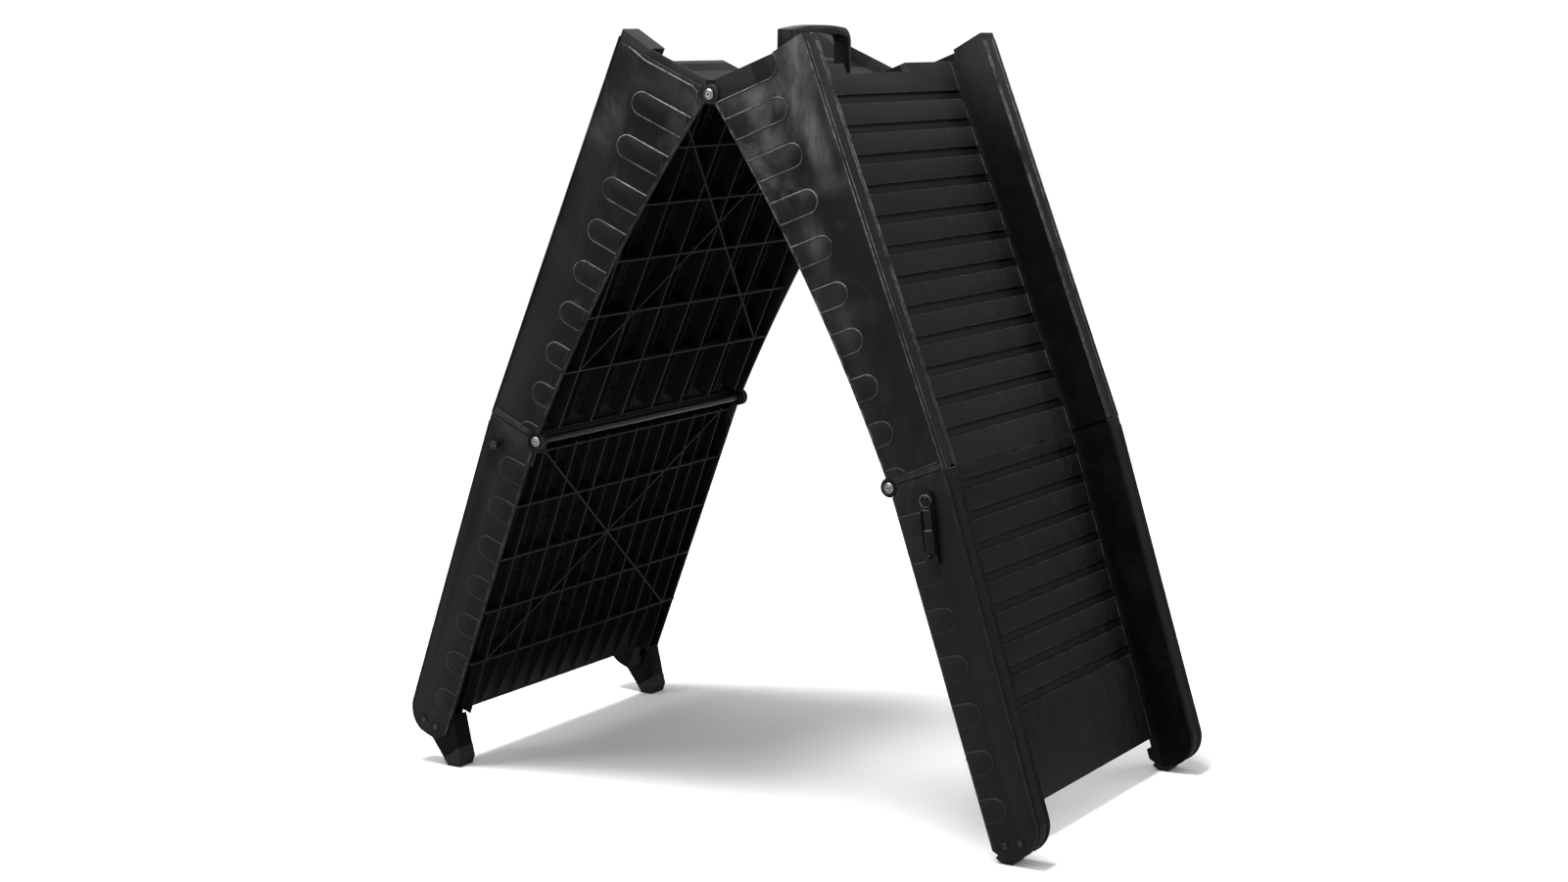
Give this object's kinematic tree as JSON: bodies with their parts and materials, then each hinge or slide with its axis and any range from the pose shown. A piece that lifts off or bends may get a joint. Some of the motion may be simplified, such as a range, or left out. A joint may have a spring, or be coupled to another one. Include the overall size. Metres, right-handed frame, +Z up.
{
  "type": "folding dog ramp",
  "caption": "Folding moulded pet ramp of hinged channel sections standing as an inverted V, with treads, side rails, carry handle, hook latch and rubber-tipped feet.",
  "frame": {"origin": "on the floor, under the middle of the ramp as it stands folded in an inverted V", "axes": "+Z up; X along the ramp, with the section that carries the latch on +X; Y across the ramp, with the latch on the -Y side"},
  "size_m": [0.8282, 0.4372, 0.864],
  "materials": {
    "ramp_plastic": "satin black moulded polypropylene with a fine grain",
    "trim_plastic": "satin black moulded nylon",
    "foot_rubber": "matt black rubber",
    "pin_steel": "zinc-plated steel",
    "screw_steel": "black zinc-plated steel"
  },
  "bodies": {
    "right_upper": {"upper_right_panel": "ramp_plastic", "centre_hinge_rod": "screw_steel", "centre_rod_heads": "pin_steel", "centre_rod_sleeves": "trim_plastic", "mid_right_hinge_rod": "screw_steel", "mid_right_rod_heads": "pin_steel", "mid_right_rod_collars": "trim_plastic"},
    "left_upper": {"upper_left_panel": "ramp_plastic", "mid_left_hinge_rod": "screw_steel", "mid_left_rod_heads": "pin_steel", "mid_left_rod_collars": "trim_plastic"},
    "right_lower": {"lower_right_panel": "ramp_plastic", "rubber_feet": "foot_rubber", "right_foot_screws": "screw_steel", "latch_pivot_screw": "screw_steel", "latch_park_stud": "screw_steel"},
    "left_lower": {"lower_left_panel": "ramp_plastic", "drop_feet": "trim_plastic", "drop_foot_tips": "foot_rubber", "left_foot_screws": "screw_steel", "latch_catch_stud": "screw_steel"},
    "handle": {"carry_handle": "trim_plastic"},
    "latch": {"latch_arm": "trim_plastic"}
  },
  "joints": [
    {"name": "centre_fold", "type": "hinge", "parent": "right_upper", "child": "left_upper", "pos_m": [0.02482, 0, 0.79076], "axis": [0, 1, 0], "range_deg": [-20, 118.8]},
    {"name": "mid_fold_left", "type": "hinge", "parent": "left_upper", "child": "left_lower", "pos_m": [-0.21871, 0, 0.40036], "axis": [0, -1, 0], "range_deg": [0, 28]},
    {"name": "mid_fold_right", "type": "hinge", "parent": "right_upper", "child": "right_lower", "pos_m": [0.24158, 0, 0.38489], "axis": [0, 1, 0], "range_deg": [0, 28]},
    {"name": "handle_swing", "type": "hinge", "parent": "right_upper", "child": "handle", "pos_m": [0.02482, 0, 0.79076], "axis": [0, 1, 0], "range_deg": [-10, 59.4]},
    {"name": "latch_swing", "type": "hinge", "parent": "right_lower", "child": "latch", "pos_m": [0.28811, -0.215, 0.37575], "axis": [0, -1, 0], "range_deg": [0, 165]}
  ],
  "couplings": [
    {"joint": "handle_swing", "follows": "centre_fold", "ratio": 0.5}
  ]
}
